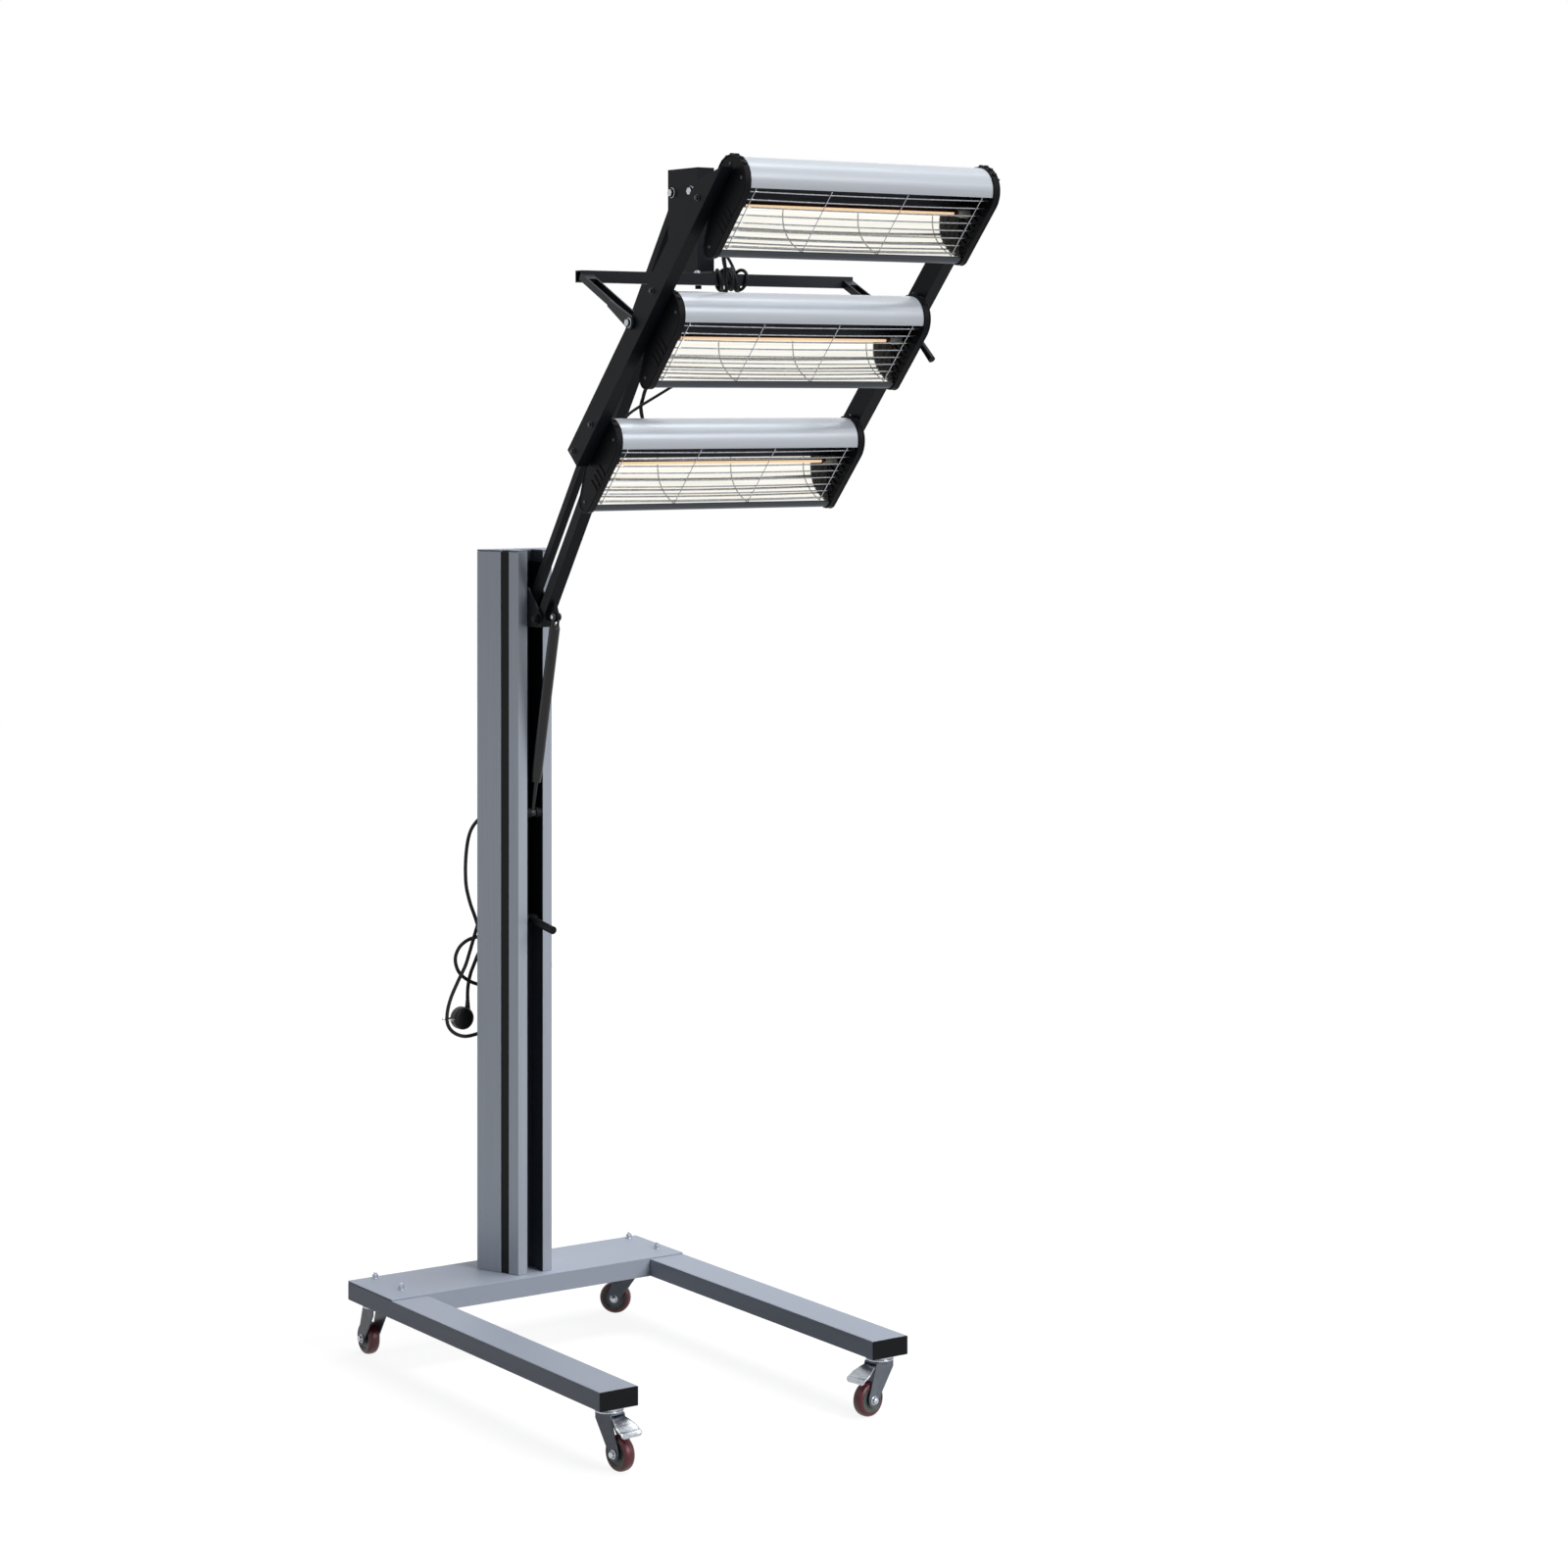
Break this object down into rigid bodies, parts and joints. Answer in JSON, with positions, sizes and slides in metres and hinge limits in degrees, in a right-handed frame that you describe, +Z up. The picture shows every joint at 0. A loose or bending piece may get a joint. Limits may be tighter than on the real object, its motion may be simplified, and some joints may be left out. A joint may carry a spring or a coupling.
{
  "type": "infrared paint curing lamp",
  "caption": "Wheeled stand with a sliding balanced arm that carries a tilting head of infrared lamp cassettes, and a control panel on the column.",
  "frame": {"origin": "on the floor, in the middle of the box of the object without its mains cord", "axes": "+Z up; the lamps and the open ends of the legs point to -Y; the control panel faces +Y; +X is to the right seen from the lamps' side"},
  "size_m": [0.681, 1.351, 2.35],
  "materials": {
    "grey_paint": "grey powder coat, fine texture",
    "column_aluminium": "matte anodised extrusion",
    "black_plastic": "satin black",
    "black_rubber": "matte black",
    "black_panel": "satin black sheet",
    "dial_silver": "brushed silver with printed numbers",
    "bright_steel": "bright",
    "zinc_steel": "bright zinc plate",
    "maroon_wheel": "maroon polyurethane tread on a grey hub",
    "black_paint": "matte black powder coat",
    "satin_aluminium": "satin, polished inside as the reflector",
    "black_moulding": "matte black",
    "lamp_glass": "clear quartz with a glowing filament",
    "guard_wire": "bright wire"
  },
  "bodies": {
    "base": {"cross_tray": "grey_paint", "leg_left": "grey_paint", "leg_right": "grey_paint", "leg_cap_left": "black_plastic", "leg_cap_right": "black_plastic", "column": "column_aluminium", "column_cap": "grey_paint", "side_strip_left": "black_rubber", "side_strip_right": "black_rubber", "control_panel": "black_panel", "dial_ring": "dial_silver", "cord_gland": "black_plastic", "cord_hook": "bright_steel", "cord_lead": "black_rubber", "cord_coil": "black_rubber", "cord_tail": "black_rubber", "plug": "black_plastic"},
    "castor_front_left": {"castor_fork_front_left": "zinc_steel"},
    "wheel_body_front_left": {"wheel_front_left": "maroon_wheel"},
    "castor_front_right": {"castor_fork_front_right": "zinc_steel"},
    "wheel_body_front_right": {"wheel_front_right": "maroon_wheel"},
    "castor_rear_left": {"castor_fork_rear_left": "zinc_steel"},
    "wheel_body_rear_left": {"wheel_rear_left": "maroon_wheel"},
    "castor_rear_right": {"castor_fork_rear_right": "zinc_steel"},
    "wheel_body_rear_right": {"wheel_rear_right": "maroon_wheel"},
    "pedal_body_front_left": {"brake_pedal_front_left": "zinc_steel"},
    "pedal_body_front_right": {"brake_pedal_front_right": "zinc_steel"},
    "carriage_body": {"carriage": "black_paint"},
    "lock_lever_body": {"lock_lever": "black_plastic"},
    "main_arm_body": {"main_arm": "black_paint"},
    "link_arm_body": {"link_arm": "black_paint"},
    "spring_cylinder_body": {"spring_cylinder": "black_paint"},
    "spring_rod_body": {"spring_rod": "bright_steel"},
    "bracket_body": {"head_bracket": "black_paint"},
    "yoke_body": {"yoke": "black_paint"},
    "tilt_lever_body": {"tilt_lever": "black_plastic"},
    "head_body": {"rail_left": "black_paint", "rail_right": "black_paint", "lamp_wiring": "black_rubber", "cassette_shell_low": "satin_aluminium", "end_plate_low_left": "black_moulding", "end_plate_low_right": "black_moulding", "lamp_tube_low": "lamp_glass", "wire_guard_low": "guard_wire", "cassette_shell_middle": "satin_aluminium", "end_plate_middle_left": "black_moulding", "end_plate_middle_right": "black_moulding", "lamp_tube_middle": "lamp_glass", "wire_guard_middle": "guard_wire", "cassette_shell_top": "satin_aluminium", "end_plate_top_left": "black_moulding", "end_plate_top_right": "black_moulding", "lamp_tube_top": "lamp_glass", "wire_guard_top": "guard_wire"},
    "selector_body": {"selector_knob": "black_plastic"},
    "thermostat_body": {"thermostat_knob": "black_plastic"},
    "rocker_body_1": {"lamp_rocker_1": "black_plastic"},
    "rocker_body_2": {"lamp_rocker_2": "black_plastic"},
    "rocker_body_3": {"lamp_rocker_3": "black_plastic"},
    "main_rocker_body": {"main_rocker": "black_plastic"}
  },
  "joints": [
    {"name": "swivel_front_left", "type": "hinge", "parent": "base", "child": "castor_front_left", "pos_m": [-0.3005, -0.27522, 0.112], "axis": [0, 0, 1], "continuous": true},
    {"name": "roll_front_left", "type": "hinge", "parent": "castor_front_left", "child": "wheel_body_front_left", "pos_m": [-0.29716, -0.30705, 0.0325], "axis": [0.9945, 0.1045, 0], "continuous": true},
    {"name": "swivel_front_right", "type": "hinge", "parent": "base", "child": "castor_front_right", "pos_m": [0.3005, -0.27522, 0.112], "axis": [0, 0, 1], "continuous": true},
    {"name": "roll_front_right", "type": "hinge", "parent": "castor_front_right", "child": "wheel_body_front_right", "pos_m": [0.26899, -0.28078, 0.0325], "axis": [0.1736, -0.9848, 0], "continuous": true},
    {"name": "swivel_rear_left", "type": "hinge", "parent": "base", "child": "castor_rear_left", "pos_m": [-0.3005, 0.61078, 0.112], "axis": [0, 0, 1], "continuous": true},
    {"name": "roll_rear_left", "type": "hinge", "parent": "castor_rear_left", "child": "wheel_body_rear_left", "pos_m": [-0.29938, 0.64276, 0.0325], "axis": [-0.9994, 0.0349, 0], "continuous": true},
    {"name": "swivel_rear_right", "type": "hinge", "parent": "base", "child": "castor_rear_right", "pos_m": [0.3005, 0.61078, 0.112], "axis": [0, 0, 1], "continuous": true},
    {"name": "roll_rear_right", "type": "hinge", "parent": "castor_rear_right", "child": "wheel_body_rear_right", "pos_m": [0.27787, 0.6334, 0.0325], "axis": [-0.7071, -0.7071, 0], "continuous": true},
    {"name": "brake_front_left", "type": "hinge", "parent": "castor_front_left", "child": "pedal_body_front_left", "pos_m": [-0.29987, -0.28119, 0.092], "axis": [0.9945, 0.1045, 0], "range_deg": [0, 15]},
    {"name": "brake_front_right", "type": "hinge", "parent": "castor_front_right", "child": "pedal_body_front_right", "pos_m": [0.29459, -0.27626, 0.092], "axis": [0.1736, -0.9848, 0], "range_deg": [0, 15]},
    {"name": "carriage_slide", "type": "slide", "parent": "base", "child": "carriage_body", "axis": [0, 0, 1], "range_m": [-0.6, 0.02]},
    {"name": "slide_lock", "type": "hinge", "parent": "carriage_body", "child": "lock_lever_body", "pos_m": [0, 0.51578, 0.864], "axis": [1, 0, 0], "range_deg": [-20, 20]},
    {"name": "arm_lift", "type": "hinge", "parent": "carriage_body", "child": "main_arm_body", "pos_m": [0, 0.45778, 1.474], "axis": [1, 0, 0], "range_deg": [-12, 35]},
    {"name": "link_lift", "type": "hinge", "parent": "carriage_body", "child": "link_arm_body", "pos_m": [0, 0.52378, 1.474], "axis": [1, 0, 0], "range_deg": [-13, 36]},
    {"name": "bracket_level", "type": "hinge", "parent": "main_arm_body", "child": "bracket_body", "pos_m": [0, -0.11222, 2.306], "axis": [1, 0, 0], "range_deg": [-36, 13]},
    {"name": "spring_pivot", "type": "hinge", "parent": "main_arm_body", "child": "spring_cylinder_body", "pos_m": [0, 0.41178, 1.48], "axis": [1, 0, 0], "range_deg": [-38, 15]},
    {"name": "spring_stroke", "type": "slide", "parent": "spring_cylinder_body", "child": "spring_rod_body", "axis": [0, 0.2282, -0.9736], "range_m": [-0.05, 0.03]},
    {"name": "head_swivel", "type": "hinge", "parent": "bracket_body", "child": "yoke_body", "pos_m": [0, -0.10822, 2.154], "axis": [0, 0, 1], "range_deg": [-45, 45]},
    {"name": "head_tilt", "type": "hinge", "parent": "yoke_body", "child": "head_body", "pos_m": [0, -0.35322, 2.0508], "axis": [1, 0, 0], "range_deg": [-35, 20]},
    {"name": "tilt_lock", "type": "hinge", "parent": "yoke_body", "child": "tilt_lever_body", "pos_m": [0.3078, -0.35322, 2.0508], "axis": [1, 0, 0], "range_deg": [-60, 60]},
    {"name": "selector_turn", "type": "hinge", "parent": "base", "child": "selector_body", "pos_m": [0, 0.58778, 1.506], "axis": [0, -1, 0], "range_deg": [0, 120]},
    {"name": "thermostat_turn", "type": "hinge", "parent": "base", "child": "thermostat_body", "pos_m": [0, 0.58958, 1.41], "axis": [0, -1, 0], "range_deg": [-45, 225]},
    {"name": "rocker_1_tip", "type": "hinge", "parent": "base", "child": "rocker_body_1", "pos_m": [0.025, 0.58948, 1.324], "axis": [1, 0, 0], "range_deg": [-22, 0]},
    {"name": "rocker_2_tip", "type": "hinge", "parent": "base", "child": "rocker_body_2", "pos_m": [0, 0.58948, 1.324], "axis": [1, 0, 0], "range_deg": [-22, 0]},
    {"name": "rocker_3_tip", "type": "hinge", "parent": "base", "child": "rocker_body_3", "pos_m": [-0.025, 0.58948, 1.324], "axis": [1, 0, 0], "range_deg": [-22, 0]},
    {"name": "main_rocker_tip", "type": "hinge", "parent": "base", "child": "main_rocker_body", "pos_m": [0, 0.58948, 1.21], "axis": [1, 0, 0], "range_deg": [-22, 0]}
  ],
  "couplings": [
    {"joint": "link_lift", "follows": "arm_lift", "ratio": 1},
    {"joint": "bracket_level", "follows": "arm_lift", "ratio": -1},
    {"joint": "spring_pivot", "follows": "arm_lift", "ratio": -0.98377},
    {"joint": "spring_stroke", "follows": "arm_lift", "m_per_rad": -0.045323}
  ]
}
